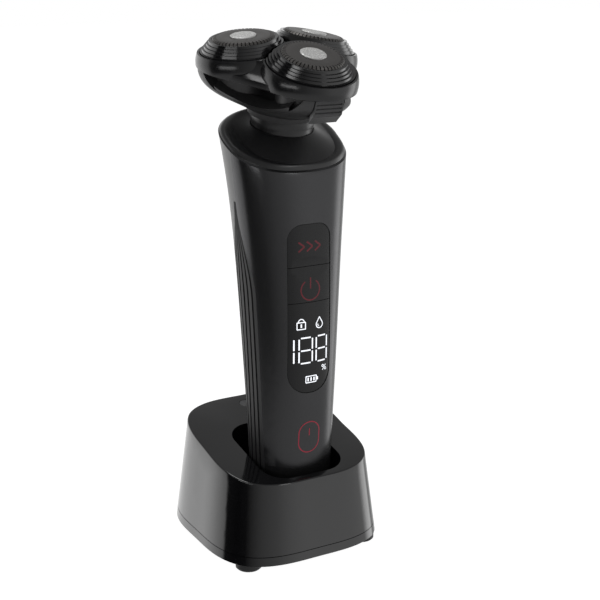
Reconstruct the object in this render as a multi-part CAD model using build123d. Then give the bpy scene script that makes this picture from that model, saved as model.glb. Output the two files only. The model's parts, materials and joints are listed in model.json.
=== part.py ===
from build123d import *
import os
from math import acos, copysign, cos, pi, radians, sin, tan

# Rotary shaver standing in its charging stand. Millimetres, +Z up, the shaver faces -Y.

# Clearances
RUN_GAP = 0.05
SEAT_GAP = 0.1
SLIDE_GAP = 0.25
OPEN_GAP = 0.35
REACH = 60.0

# Charging stand
STAND_Y = 4.5
STAND_HALF_X = 33.5
STAND_HALF_Y = 35.2
STAND_POWER = 3.45
STAND_TAPER = 0.117
STAND_TOP = 38.5
STAND_SLOPE = 10.7
STAND_WALL = 2.2
STAND_EDGE = 0.6
FOOT_HEIGHT = 2.8
FOOT_R = 4.8
FOOT_SINK = 1.0
FOOT_X = 24.0
FOOT_Y = 25.0
BASE_THICK = 3.2
BASE_LIP = 1.6
SEAM_GAP = 0.25
WELL_Y = -5.0
WELL_HALF_X = 16.4
WELL_HALF_Y = 19.5
WELL_CORNER = 9.5
WELL_WALL = 1.8
WELL_GAP = 0.2
PIN_SPREAD = 4.0
PIN_R = 0.9
PIN_ROUND = PIN_R * 0.5
STAND_BOARD_X = 24.0
STAND_BOARD_Y = 16.0
BOARD_THICK = 1.2
STAND_BOARD_Z = 12.0
POST_R = 2.5
BOSS_R = 3.2
INLET_X = 9.4
INLET_Z = 3.8
INLET_DEPTH = 8.0
INLET_WALL = 0.5
INLET_FLOOR = 1.2
INLET_SINK = 0.3
TONGUE_SINK = 1.5
INLET_HEIGHT = 10.5
TONGUE_X = 6.6
TONGUE_Z = 0.8
SCREW_R = 1.5
SCREW_HEAD_R = 2.6
SCREW_HEAD = 1.4
SCREW_SINK = 0.2
SCREW_SLOT_WIDE = 0.6
SCREW_SLOT_LONG = 3.2
SCREW_SLOT_DEEP = 0.8
FOOT_CHAMFER = 0.5
SCREW_LENGTH = 7.0
SCREW_X = 26.5
SCREW_Y = 12.0
LAMP_Y = 24.0
LAMP_R = 2.4
LAMP_PROUD = 0.05
LAMP_LENGTH = 5.0

# Handle: stations from the foot to the rim under the shoulder
HANDLE_POWER = 2.4
HANDLE_Z = 20.0
FOOT_RISE = 0.0
FOOT_CENTRE = -8.2
FOOT_HALF_X = 14.6
FOOT_HALF_Y = 12.9
LOW_RISE = 26.0
LOW_CENTRE = -8.2
LOW_HALF_X = 15.4
LOW_HALF_Y = 13.6
GRIP_RISE = 46.0
GRIP_CENTRE = -8.0
GRIP_HALF_X = 16.1
GRIP_HALF_Y = 15.2
MID_RISE = 77.0
MID_CENTRE = -7.4
MID_HALF_X = 17.7
MID_HALF_Y = 16.2
HIGH_RISE = 114.0
HIGH_CENTRE = -6.0
HIGH_HALF_X = 20.6
HIGH_HALF_Y = 16.6
HIGH_LEAN = 2.0
RIM_RISE = 131.9
RIM_CENTRE = -3.3
RIM_HALF_X = 22.6
RIM_HALF_Y = 20.0
RIM_LEAN = 25.0
HANDLE_WALL = 2.0
HANDLE_ROUND = 6.0
CAP_HEIGHT = 7.0

# Parting line of the shells and the ribbed side grips
PART_HIGH_Y = -6.8
PART_LOW_Y = -14.4
PART_HIGH_RISE = 112.0
PART_LOW_RISE = 78.0
GRIP_BACK_HIGH_Y = -5.2
GRIP_BACK_LOW_Y = 3.4
GRIP_FOOT_RISE = 9.0
GRIP_DEPTH = 1.2
GROOVE_DEPTH = 0.7
RIB_COUNT = 7
GROOVE_WIDTH = 0.9

# Control panel
PANEL_HALF_X = 8.6
PANEL_LOW_RISE = 43.7
PANEL_SEAM_RISE = 77.4
PANEL_RIDGE_RISE = 90.2
POWER_DROP = 1.8
PANEL_HIGH_RISE = 105.3
PANEL_LOW_CORNER = 8.0
PANEL_HIGH_CORNER = 5.5
PANEL_SINK = 0.2
PANEL_GAP = 0.2
LENS_THICK = 1.6
FLANGE = 1.0
FLANGE_THICK = 0.8
BUTTON_TRAVEL = 0.6
SADDLE_R = 9.0
SADDLE_DEPTH = 0.7
STEM_R = 2.0
SWITCH_SIDE = 6.0
SWITCH_HIGH = 3.0
PLUNGER_R = 1.6
PLUNGER_HIGH = 0.6

# Inside the handle
BOARD_Y = -15.4
BOARD_HALF_X = 9.4
BOARD_LOW_RISE = 26.0
BOARD_HIGH_RISE = 105.0
CHASSIS_THICK = 1.2
CELL_R = 7.1
CELL_LENGTH = 50.0
CELL_BUTTON_R = CELL_R * 0.4
CELL_BUTTON = 1.2
MOTOR_ABOVE_SHELF = 6.0
CELL_RISE = 30.0
SHELF_THICK = 1.6
MOTOR_R = 9.0
MOTOR_LENGTH = 27.0
MOTOR_BOSS_R = 3.0
MOTOR_BOSS = 2.0
SHAFT_R = 1.0
SHAFT_GRIP = 6.0
DISPLAY_HALF_X = 7.0
DISPLAY_MARGIN = 3.8
CONTACT_R = 2.2
CONTACT_THICK = 1.2

# Neck
NECK_Y = -3.5
NECK_Z = 160.0
HEAD_TILT = 12.0
BALL_R = 11.4
COLLAR_R = 10.5
COLLAR_WALL = 1.4
COLLAR_TOP = 2.4
BALL_LOW = -8.0
COLLAR_FOOT = -12.5
COLLAR_FLOOR = 2.0
SEAL_R = 4.5
SEAL_THICK = 1.6
RIM_CHAMFER = 0.5
SHOULDER_INSET = 1.1
SHOULDER_RISE = 1.0
CROWN_INSET_X = 5.0
CROWN_INSET_Y = 2.4
CROWN_RISE = 2.0
CROWN_LEAN = 27.0
SHOULDER_LIP = 0.7
SHOULDER_LEAN = 14.0
SHOULDER_TOP = -3.4
PLUG_DEPTH = 4.0
GIMBAL_R = 7.0
GIMBAL_WALL = 1.6
GIMBAL_HIGH = 2.8
PIVOT_R = 0.8
PIVOT_LENGTH = 1.7
SLEEVE_R = 6.3
SLEEVE_WALL = 1.9
SLEEVE_FOOT = -1.8
BALL_DRIVE_R = 1.9
CROSS_R = 0.6
CROSS_HALF = 2.9
SOCKET_R = 3.5
SOCKET_BORE = 2.4
SOCKET_FOOT = -2.0
SOCKET_TOP = 4.8
SLOT_TOP = 1.9

# Gear train
MODULE = 0.55
TOOTH_FOOT = 1.25 * MODULE
MAIN_TEETH = 24
DRIVE_TEETH = 32
PRESSURE = 20.0
BACKLASH = 0.1
GEAR_Z = 8.4
GEAR_HIGH = 2.6
GEAR_SHAFT_R = 1.6
POST_PIN_R = 1.2
POST_PIN_HIGH = 3.6
HUB_R = 2.8
SPINDLE_R = 2.3
SPINDLE_TIP_R = 1.3
SPINDLE_TIP_LONG = 1.1
SPINDLE_TIP_LIFT = 0.3
SPINDLE_NECK_Z = 20.6

# Head: base, frame and three shaving units
LOBES = {"front": -90.0, "right": 30.0, "left": 150.0}
HEAD_RISE = 26.5
UNIT_TILT = 9.0
DRIVE_DEPTH = 3.8
SKIRT_FOOT = 1.3
SKIRT_LOW_R = 12.6
SKIRT_TOP = 3.4
SKIRT_TOP_R = 13.4
SKIRT_TOP_D = 0.4
SKIRT_WALL = 1.0
BOWL_START = 0.6
BOWL_LOW_Z = 5.8
BOWL_LOW_D = 7.4
BOWL_LOW_RHO = 12.7
BOWL_MID_Z = 10.2
BOWL_MID_D = 13.8
BOWL_MID_RHO = 14.8
BOWL_TOP_Z = 15.2
BOWL_TOP_D = 15.0
BOWL_TOP_RHO = 15.8
FLOOR_LOW = 5.2
FLOOR_HIGH = 8.0
POCKET_GAP = 0.5
POCKET_WALL = 1.0
COVER_THICK = 1.2
SCOOP_R = 26.0
SCOOP_Z = 37.2
SCOOP_START = 10.0
SCOOP_LEAN = 20.0
FRAME_GAP = 0.3
PLATE_THICK = 2.2
WEB_MID_Z = 19.6
WEB_MID_D = 13.0
WEB_MID_RHO = 13.9
WEB_TOP_Z = 22.9
WEB_TOP_D = 12.5
WEB_TOP_RHO = 12.4
CUP_R = 17.0
CUP_RIM_R = 16.2
CUP_FOOT_R = 15.6
CUP_RIM_T = -4.3
CUP_BULGE_T = -7.5
CUP_FOOT_T = -13.0
CUP_FLOOR_T = -7.6
CUP_BORE = 15.5
CUP_HOLE = 11.2
HINGE_V = 25.6
HINGE_W = 20.0
HINGE_R = 1.9
HINGE_PIN_R = 0.9
LUG_HALF_X = 4.6
LUG_ROOT = 6.0
EAR_WIDTH = 3.0
LUG_THICK = 4.0
LATCH_HALF_X = 5.4
LATCH_LOW = 6.4
LATCH_FRONT = 30.0
LATCH_BACK_TOP = 27.6
LATCH_STEP = 27.0
LATCH_STEP_Z = 7.4
LATCH_BACK_LOW = 25.6
LATCH_ROUND = 3.6
LATCH_DRAFT = 0.6
LATCH_TRAVEL = 1.0
LATCH_RIBS = 4
LATCH_GROOVE = 0.5

# Shaving unit: guard, ring and cutter, heights counted from the guard's rim plane
GUARD_R = 10.8
GUARD_CROWN = 0.35
GUARD_BEVEL = 0.6
GUARD_BEVEL_T = -0.4
GUARD_DISH = 0.1
GUARD_FALL = 0.15
GUARD_SHEET = 0.5
GUARD_SKIRT = 2.6
GUARD_FLANGE_R = 11.8
GUARD_FLANGE = 0.6
GUARD_SLOTS = 48
GUARD_SLOT = 0.35
SLOT_INNER_R = 9.2
SLOT_DEPTH = 1.3
DISC_R = 4.5
DISC_BEVEL = 0.4
DISC_BEVEL_HIGH = 0.25
DISC_THICK = 0.75
RING_STEPS = 4
RING_TOP_R = 11.9
RING_TOP_T = -0.4
RING_R = 15.2
RING_STEP_FOOT = -3.9
RING_FOOT = -5.0
UNIT_SPACE = 0.45
CUTTER_R = 10.0
CUTTER_TOP = -0.55
CUTTER_PLATE = 0.7
CUTTER_BLADES = 9
BLADE_THICK = 0.6
BLADE_LEAN = 25.0
BLADE_INNER_R = 5.4
WHEEL_INNER_R = BLADE_INNER_R - 1.4
SOCKET_ROOF = 0.2
BLADE_HIGH = 1.2
CUTTER_HUB_R = 2.6
CUTTER_HUB_FOOT = -4.9
DRIVE_BAR_HALF = 1.9
DRIVE_BAR_WIDE = 1.1
RETAINER_R = 13.0
RETAINER_THICK = 1.2
RETAINER_HOLE = 3.6
ROCKER_R = 0.6
ROCKER_AT = 12.2

# Worked-out places
SPINDLE_AT = MODULE * (MAIN_TEETH + DRIVE_TEETH) / 2
UNIT_AT = SPINDLE_AT + DRIVE_DEPTH * sin(radians(UNIT_TILT))
HEAD = Location((0, NECK_Y, NECK_Z), (HEAD_TILT, 0, 0))
GEAR_TIP = MODULE * (DRIVE_TEETH / 2 + 1)
MAIN_TIP = MODULE * (MAIN_TEETH / 2 + 1)
FLOOR_Z = HANDLE_Z - WELL_GAP
BASE_Z = FOOT_HEIGHT
SHELL_Z = FOOT_HEIGHT + BASE_THICK + SEAM_GAP
STATIONS = (
    (FOOT_RISE, FOOT_CENTRE, 0.0, FOOT_HALF_X, FOOT_HALF_Y),
    (LOW_RISE, LOW_CENTRE, 0.0, LOW_HALF_X, LOW_HALF_Y),
    (GRIP_RISE, GRIP_CENTRE, 0.0, GRIP_HALF_X, GRIP_HALF_Y),
    (MID_RISE, MID_CENTRE, 0.0, MID_HALF_X, MID_HALF_Y),
    (HIGH_RISE, HIGH_CENTRE, HIGH_LEAN, HIGH_HALF_X, HIGH_HALF_Y),
    (RIM_RISE, RIM_CENTRE, RIM_LEAN, RIM_HALF_X, RIM_HALF_Y),
)


def oval(half_x, half_y, power, count=16):
    """Closed superellipse through evenly spread points."""
    points = []
    for i in range(count):
        c = cos(2 * pi * i / count)
        s = sin(2 * pi * i / count)
        x = half_x * copysign(abs(c) ** (2 / power), c)
        y = half_y * copysign(abs(s) ** (2 / power), s)
        points.append((x, y))
    return make_face(Spline(points, periodic=True))


def turned(profile):
    """Solid of revolution about Z from (radius, height) points."""
    face = make_face(Polyline([(r, 0, z) for r, z in profile], close=True))
    return revolve(face, Axis.Z)


def rod(radius, low, high):
    """Upright cylinder between two heights."""
    return Pos(0, 0, low) * extrude(Circle(radius), high - low)


def tube(radius, bore, low, high):
    return rod(radius, low, high) - rod(bore, low - 1, high + 1)


def block(x0, x1, y0, y1, z0, z1):
    """Box between its corners."""
    centre = Pos((x0 + x1) / 2, (y0 + y1) / 2, (z0 + z1) / 2)
    return centre * Box(x1 - x0, y1 - y0, z1 - z0)


def slab(low, high):
    """Wide layer between two heights, for cutting."""
    return block(-REACH, REACH, -REACH, REACH, low, high)


def cross_rod(radius, half, y, z):
    """Cylinder along X through (y, z)."""
    return Pos(0, y, z) * Rot(0, 90, 0) * Cylinder(radius, 2 * half)


# Charging stand


def stand_block(inset, top_drop):
    """Tapered block of the stand, cut by the sloped top plane."""
    low = BASE_Z
    high = STAND_TOP + STAND_HALF_Y * tan(radians(STAND_SLOPE)) + 2.0
    shrink = STAND_TAPER * (high - low)
    foot = oval(STAND_HALF_X - inset, STAND_HALF_Y - inset, STAND_POWER)
    head = oval(
        STAND_HALF_X - inset - shrink, STAND_HALF_Y - inset - shrink, STAND_POWER
    )
    body = loft([Pos(0, STAND_Y, low) * foot, Pos(0, STAND_Y, high) * head])
    return split(body, bisect_by=top_plane(top_drop), keep=Keep.BOTTOM)


def top_plane(drop):
    slope = radians(STAND_SLOPE)
    origin = (0, STAND_Y, STAND_TOP - drop / cos(slope))
    return Plane(origin=origin, x_dir=(1, 0, 0), z_dir=(0, -sin(slope), cos(slope)))


def well_prism(grow, low, high):
    outline = RectangleRounded(
        2 * (WELL_HALF_X + grow), 2 * (WELL_HALF_Y + grow), WELL_CORNER + grow
    )
    return Pos(0, WELL_Y, low) * extrude(outline, high - low)


def inlet_place():
    """Mouth of the inlet, in the middle of the stand's rear wall."""
    back = STAND_Y + STAND_HALF_Y - STAND_TAPER * (INLET_HEIGHT - BASE_Z)
    return Pos(0, back, INLET_HEIGHT)


def inlet_body(grow, low, high):
    """Flat-sided oval along Y, counted from the rear wall."""
    outline = SlotOverall(INLET_X + 2 * grow, INLET_Z + 2 * grow)
    return inlet_place() * Pos(0, low, 0) * Rot(-90, 0, 0) * extrude(outline, high - low)


def stand_shell():
    outer = stand_block(0.0, 0.0)
    top_edge = outer.faces().sort_by(Axis.Z)[-1].outer_wire().edges()
    outer = fillet(top_edge, STAND_EDGE) & slab(SHELL_Z, REACH * 2)
    hollow = stand_block(STAND_WALL, STAND_WALL)
    hollow -= well_prism(WELL_WALL, FLOOR_Z - WELL_WALL, REACH * 2)
    hollow -= [Pos(x, y, 0) * rod(BOSS_R, SHELL_Z, FLOOR_Z) for x, y in screw_places()]
    cuts = [hollow, well_prism(0.0, FLOOR_Z, REACH * 2)]
    for x, y in contact_places():
        cuts.append(Pos(x, y, 0) * rod(PIN_R + SEAT_GAP, FLOOR_Z - 3, FLOOR_Z + 1))
    for x, y in screw_places():
        tip = BASE_Z + SCREW_HEAD + SCREW_LENGTH
        cuts.append(Pos(x, y, 0) * rod(SCREW_R, SHELL_Z - 1, tip))
    cuts.append(inlet_body(SEAT_GAP, -INLET_DEPTH, INLET_DEPTH))
    cuts.append(lamp_rod(SEAT_GAP))
    return outer - cuts


def screw_places():
    return [(x, STAND_Y + y) for x in (-SCREW_X, SCREW_X) for y in (-SCREW_Y, SCREW_Y)]


def foot_places():
    return [(x, STAND_Y + y) for x in (-FOOT_X, FOOT_X) for y in (-FOOT_Y, FOOT_Y)]


def stand_base():
    top = BASE_Z + BASE_THICK
    lip_high = top + BASE_LIP
    plate = stand_block(0.0, 0.0) & slab(BASE_Z, top)
    lip = stand_block(STAND_WALL + SEAT_GAP, 0) & slab(top - 1.0, lip_high)
    lip -= stand_block(2 * STAND_WALL, 0)
    adds = [lip]
    for x in (-STAND_BOARD_X / 3, STAND_BOARD_X / 3):
        adds.append(Pos(x, FOOT_CENTRE, 0) * rod(POST_R, top - 1.0, STAND_BOARD_Z))
    mouth = inlet_place().position
    shelf = mouth.Y - INLET_DEPTH
    shelf_high = mouth.Z - INLET_Z / 2
    adds.append(block(-INLET_X / 3, INLET_X / 3, shelf, shelf + 3.0, top - 1.0, shelf_high))
    cuts = []
    for x, y in screw_places():
        cuts.append(Pos(x, y, 0) * rod(BOSS_R + SEAT_GAP, top, lip_high + 1))
        cuts.append(Pos(x, y, 0) * rod(SCREW_R + SEAT_GAP, 0, lip_high + 1))
        cuts.append(Pos(x, y, 0) * rod(SCREW_HEAD_R + SEAT_GAP, 0, BASE_Z + SCREW_HEAD))
    for x, y in foot_places():
        cuts.append(Pos(x, y, 0) * rod(FOOT_R, 0, BASE_Z + FOOT_SINK))
    return plate + adds - cuts


def stand_feet():
    feet = []
    for x, y in foot_places():
        foot = rod(FOOT_R, 0, BASE_Z + FOOT_SINK)
        foot = chamfer(foot.edges().group_by(Axis.Z)[0], FOOT_CHAMFER)
        feet.append(Pos(x, y, 0) * foot)
    return Compound(children=feet)


def stand_screws():
    screws = []
    for x, y in screw_places():
        screw = rod(SCREW_HEAD_R, BASE_Z + SCREW_SINK, BASE_Z + SCREW_HEAD)
        screw += rod(SCREW_R, BASE_Z + SCREW_HEAD, BASE_Z + SCREW_HEAD + SCREW_LENGTH)
        wide = SCREW_SLOT_WIDE / 2
        long = SCREW_SLOT_LONG / 2
        screw -= block(-wide, wide, -long, long, 0, BASE_Z + SCREW_SLOT_DEEP)
        screw -= block(-long, long, -wide, wide, 0, BASE_Z + SCREW_SLOT_DEEP)
        screws.append(Pos(x, y, 0) * screw)
    return Compound(children=screws)


def stand_board():
    high = STAND_BOARD_Z + BOARD_THICK
    half_x = STAND_BOARD_X / 2
    half_y = STAND_BOARD_Y / 2
    centre = FOOT_CENTRE
    return block(-half_x, half_x, centre - half_y, centre + half_y, STAND_BOARD_Z, high)


def charge_pins():
    pins = []
    for x in (-PIN_SPREAD, PIN_SPREAD):
        pin = rod(PIN_R, STAND_BOARD_Z + BOARD_THICK, HANDLE_Z - SEAT_GAP)
        pin = fillet(pin.edges().group_by(Axis.Z)[-1], PIN_ROUND)
        pins.append(Pos(x, FOOT_CENTRE, 0) * pin)
    return Compound(children=pins)


def stand_inlet():
    """Oval charging inlet with a contact tongue."""
    body = inlet_body(0.0, -INLET_DEPTH, -INLET_SINK)
    mouth = inlet_body(-INLET_WALL, -INLET_DEPTH + INLET_FLOOR, 0)
    tongue = block(
        -TONGUE_X / 2, TONGUE_X / 2, -INLET_DEPTH, -TONGUE_SINK, -TONGUE_Z / 2, TONGUE_Z / 2
    )
    return body - mouth + inlet_place() * tongue


def lamp_rod(grow):
    """Light guide square to the sloped top."""
    surface = top_plane(0.0)
    return surface.location * Pos(0, LAMP_Y, 0) * rod(LAMP_R + grow, -LAMP_LENGTH, 0.0)


def stand_lamp():
    return lamp_rod(0.0) & stand_block(0.0, LAMP_PROUD)


# Handle


def handle_body(inset):
    """Outer form of the handle below the shoulder, moved in by an inset."""
    if inset in handle_body.made:
        return handle_body.made[inset]
    sections = []
    for rise, centre, lean, half_x, half_y in STATIONS:
        lift = inset if rise == FOOT_RISE else 0.0
        place = Location((0, centre, HANDLE_Z + rise + lift), (lean, 0, 0))
        sections.append(place * oval(half_x - inset, half_y - inset, HANDLE_POWER))
    body = loft(sections)
    body = fillet(body.edges().group_by(Axis.Z)[0], HANDLE_ROUND - inset)
    if inset == 0.0:
        body = chamfer(body.edges().group_by(Axis.Z)[-1], RIM_CHAMFER)
    handle_body.made[inset] = body
    return body


handle_body.made = {}


def skin(zone, outside, inside):
    """Layer of the handle between two depths, inside a zone."""
    return (handle_body(outside) & zone) - handle_body(inside)


def side_curve(high_y, low_y, foot_z):
    """Edge of a side panel seen from the side: upright, a sweep, then upright."""
    high_z = HANDLE_Z + PART_HIGH_RISE
    low_z = HANDLE_Z + PART_LOW_RISE
    down = (0, 0, -1)
    sweep = Spline((0, high_y, high_z), (0, low_y, low_z), tangents=(down, down))
    return [sweep, Line((0, low_y, low_z), (0, low_y, foot_z))]


def rear_zone():
    """Everything behind the parting line."""
    high_z = HANDLE_Z + PART_HIGH_RISE
    top_z = NECK_Z + REACH
    edges = side_curve(PART_HIGH_Y, PART_LOW_Y, -REACH)
    edges += [
        Line((0, PART_LOW_Y, -REACH), (0, REACH, -REACH)),
        Line((0, REACH, -REACH), (0, REACH, top_z)),
        Line((0, REACH, top_z), (0, PART_HIGH_Y, top_z)),
        Line((0, PART_HIGH_Y, top_z), (0, PART_HIGH_Y, high_z)),
    ]
    return extrude(make_face(edges), REACH, (1, 0, 0), both=True)


def strip(front_high, front_low, back_high, back_low, foot_z):
    """Solid strip along the right side between two side curves."""
    high_z = HANDLE_Z + PART_HIGH_RISE
    edges = side_curve(front_high, front_low, foot_z)
    edges += side_curve(back_high, back_low, foot_z)
    edges += [
        Line((0, front_high, high_z), (0, back_high, high_z)),
        Line((0, front_low, foot_z), (0, back_low, foot_z)),
    ]
    return extrude(make_face(edges), REACH, (1, 0, 0))


def grip_zone():
    return strip(
        PART_HIGH_Y, PART_LOW_Y, GRIP_BACK_HIGH_Y, GRIP_BACK_LOW_Y, HANDLE_Z + GRIP_FOOT_RISE
    )


def grip_pad():
    """Smooth inlay under the ribs of the right side."""
    return skin(grip_zone(), GROOVE_DEPTH, GRIP_DEPTH)


def grip_ribs():
    """Ribs on the right pad; they run together towards the upper tip."""
    high_step = (GRIP_BACK_HIGH_Y - PART_HIGH_Y) / RIB_COUNT
    low_step = (GRIP_BACK_LOW_Y - PART_LOW_Y) / RIB_COUNT
    foot_z = HANDLE_Z + GRIP_FOOT_RISE
    ribs = []
    for i in range(RIB_COUNT):
        high_y = PART_HIGH_Y + i * high_step
        low_y = PART_LOW_Y + i * low_step
        back_y = low_y + low_step - GROOVE_WIDTH
        rib = strip(high_y, low_y, high_y + high_step * 0.6, back_y, foot_z)
        ribs.append(skin(rib, 0.0, GROOVE_DEPTH))
    return Compound(children=ribs)


def panel_prism(inset):
    """Outline of the control panel, carried through the front wall."""
    low = HANDLE_Z + PANEL_LOW_RISE + inset
    high = HANDLE_Z + PANEL_HIGH_RISE - inset
    half = PANEL_HALF_X - inset
    front = Plane(origin=(0, BOARD_Y, 0), x_dir=(1, 0, 0), z_dir=(0, -1, 0))
    outline = Polyline([(-half, low), (half, low), (half, high), (-half, high)], close=True)
    face = front * make_face(outline)
    low_corners = face.vertices().group_by(Axis.Z)[0]
    face = fillet(low_corners, PANEL_LOW_CORNER - inset)
    high_corners = face.vertices().group_by(Axis.Z)[-1]
    face = fillet(high_corners, PANEL_HIGH_CORNER - inset)
    return extrude(face, REACH, (0, -1, 0))


def case_zone():
    """Everything above the seam of the bottom cap."""
    return slab(HANDLE_Z + CAP_HEIGHT, NECK_Z + REACH)


def front_shell():
    shell = skin(case_zone() - rear_zone(), 0.0, HANDLE_WALL)
    return shell - panel_prism(0.0)


def rear_shell():
    right = grip_zone()
    left = mirror(right, Plane.YZ)
    bare = handle_body(0.0) & ((case_zone() & rear_zone()) - right - left)
    under_right = handle_body(GRIP_DEPTH) & right
    shell = bare + [under_right, mirror(under_right, Plane.YZ)]
    return shell - handle_body(HANDLE_WALL)


def contact_places():
    return [(x, FOOT_CENTRE) for x in (-PIN_SPREAD, PIN_SPREAD)]


def bottom_cap():
    cap = skin(slab(0, HANDLE_Z + CAP_HEIGHT), 0.0, HANDLE_WALL)
    for x, y in contact_places():
        cap -= Pos(x, y, 0) * rod(CONTACT_R, 0, HANDLE_Z + CONTACT_THICK)
    return cap


def charge_contacts():
    contacts = []
    for x, y in contact_places():
        contacts.append(Pos(x, y, 0) * rod(CONTACT_R, HANDLE_Z, HANDLE_Z + CONTACT_THICK))
    return Compound(children=contacts)


def display_lens():
    high = HANDLE_Z + PANEL_SEAM_RISE - PANEL_GAP / 2
    return skin(panel_prism(PANEL_GAP) & slab(0, high), PANEL_SINK, LENS_THICK)


def front_y(z):
    """Y of the handle's front line at a height on the panel."""
    line = Pos(0, -REACH / 2, z) * Box(0.2, REACH, 0.2)
    return (handle_body(0.0) & line).bounding_box().min.Y


def panel_button(low, high, switch_z):
    """Push button with a flange behind the wall and a stem over its switch."""
    rows = slab(low, high)
    back = HANDLE_WALL + SLIDE_GAP + FLANGE_THICK
    button = skin(panel_prism(PANEL_GAP) & rows, PANEL_SINK, back)
    flange = skin(panel_prism(-FLANGE) & rows, HANDLE_WALL + SLIDE_GAP, back)
    stem_end = plunger_y() - BUTTON_TRAVEL - SEAT_GAP
    stem_start = front_y(switch_z) + back - FLANGE_THICK / 2
    stem = Pos(0, stem_start, switch_z) * Rot(-90, 0, 0) * rod(STEM_R, 0, stem_end - stem_start)
    ridge_z = HANDLE_Z + PANEL_RIDGE_RISE
    saddle_y = front_y(ridge_z) + PANEL_SINK + SADDLE_DEPTH - SADDLE_R
    return button + flange + stem - cross_rod(SADDLE_R, PANEL_HALF_X * 2, saddle_y, ridge_z)


def plunger_y():
    return BOARD_Y - SWITCH_HIGH - PLUNGER_HIGH


def power_z():
    return HANDLE_Z + (PANEL_SEAM_RISE + PANEL_RIDGE_RISE) / 2 - POWER_DROP


def boost_z():
    return HANDLE_Z + (PANEL_RIDGE_RISE + PANEL_HIGH_RISE) / 2


def power_button():
    low = HANDLE_Z + PANEL_SEAM_RISE + PANEL_GAP / 2
    high = HANDLE_Z + PANEL_RIDGE_RISE - PANEL_GAP / 2
    return panel_button(low, high, power_z())


def boost_button():
    low = HANDLE_Z + PANEL_RIDGE_RISE + PANEL_GAP / 2
    return panel_button(low, NECK_Z, boost_z())


def button_switches():
    switches = []
    half = SWITCH_SIDE / 2
    for z in (power_z(), boost_z()):
        body = block(-half, half, BOARD_Y - SWITCH_HIGH, BOARD_Y, z - half, z + half)
        plunger = Pos(0, BOARD_Y - SWITCH_HIGH, z) * Rot(90, 0, 0)
        switches.append(body + plunger * rod(PLUNGER_R, 0, PLUNGER_HIGH))
    return Compound(children=switches)


def main_board():
    low = HANDLE_Z + BOARD_LOW_RISE
    high = HANDLE_Z + BOARD_HIGH_RISE
    return block(-BOARD_HALF_X, BOARD_HALF_X, BOARD_Y, BOARD_Y + BOARD_THICK, low, high)


def display_module():
    low = HANDLE_Z + PANEL_LOW_RISE + DISPLAY_MARGIN
    high = HANDLE_Z + PANEL_SEAM_RISE - DISPLAY_MARGIN
    frame = block(-DISPLAY_HALF_X, DISPLAY_HALF_X, -REACH, BOARD_Y, low, high)
    return frame & handle_body(LENS_THICK + SEAT_GAP)


def chassis_y():
    return BOARD_Y + BOARD_THICK


def cell_y():
    return chassis_y() + CHASSIS_THICK + SEAT_GAP + CELL_R


def motor_low():
    """Height of the motor's lower end, above the cell and one shelf."""
    return HANDLE_Z + CELL_RISE + CELL_LENGTH + 4 * SEAT_GAP + SHELF_THICK + MOTOR_ABOVE_SHELF


def chassis():
    """Carrier plate with shelves between cell, motor and neck, fitted inside the shells."""
    low = HANDLE_Z + CELL_RISE - SEAT_GAP - SHELF_THICK
    motor_high = motor_low() + MOTOR_LENGTH + SEAT_GAP
    plate = block(
        -REACH, REACH, chassis_y(), chassis_y() + CHASSIS_THICK, low, motor_high + SHELF_THICK
    )
    shelf_lows = (
        low,
        HANDLE_Z + CELL_RISE + CELL_LENGTH + SEAT_GAP,
        motor_low() - SEAT_GAP - SHELF_THICK,
        motor_high,
    )
    carrier = plate
    for z in shelf_lows:
        carrier += block(-REACH, REACH, chassis_y(), REACH, z, z + SHELF_THICK)
    carrier -= Pos(0, NECK_Y, 0) * rod(MOTOR_BOSS_R + SEAT_GAP, motor_high - 1, NECK_Z)
    return carrier & handle_body(HANDLE_WALL + SEAT_GAP)


def battery():
    low = HANDLE_Z + CELL_RISE
    cell = rod(CELL_R, low, low + CELL_LENGTH - CELL_BUTTON)
    cell += rod(CELL_BUTTON_R, low + CELL_LENGTH - CELL_BUTTON, low + CELL_LENGTH)
    return Pos(0, cell_y(), 0) * cell


def drive_motor():
    low = motor_low()
    high = low + MOTOR_LENGTH
    can = fillet(rod(MOTOR_R, low, high).edges(), 1.0)
    can += rod(MOTOR_BOSS_R, high, high + MOTOR_BOSS)
    can -= rod(SHAFT_R + RUN_GAP, high - SHAFT_GRIP, high + MOTOR_BOSS + 1)
    return Pos(0, NECK_Y, 0) * can


def motor_shaft():
    """Motor shaft with the ball and cross pin that drive the tilting head."""
    low = motor_low() + MOTOR_LENGTH - SHAFT_GRIP + RUN_GAP
    shaft = rod(SHAFT_R, low, NECK_Z) + Pos(0, 0, NECK_Z) * Sphere(BALL_DRIVE_R)
    shaft += cross_rod(CROSS_R, CROSS_HALF, 0, NECK_Z)
    return Pos(0, NECK_Y, 0) * shaft


# Shoulder and neck


def rim_place(lean, rise, inset_x, inset_y):
    """Outline of the shoulder at a height over the handle's rim, moved in by two insets."""
    place = Location((0, RIM_CENTRE, HANDLE_Z + RIM_RISE), (lean, 0, 0))
    outline = oval(RIM_HALF_X - inset_x, RIM_HALF_Y - inset_y, HANDLE_POWER)
    return place * Pos(0, 0, rise) * outline


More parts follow.
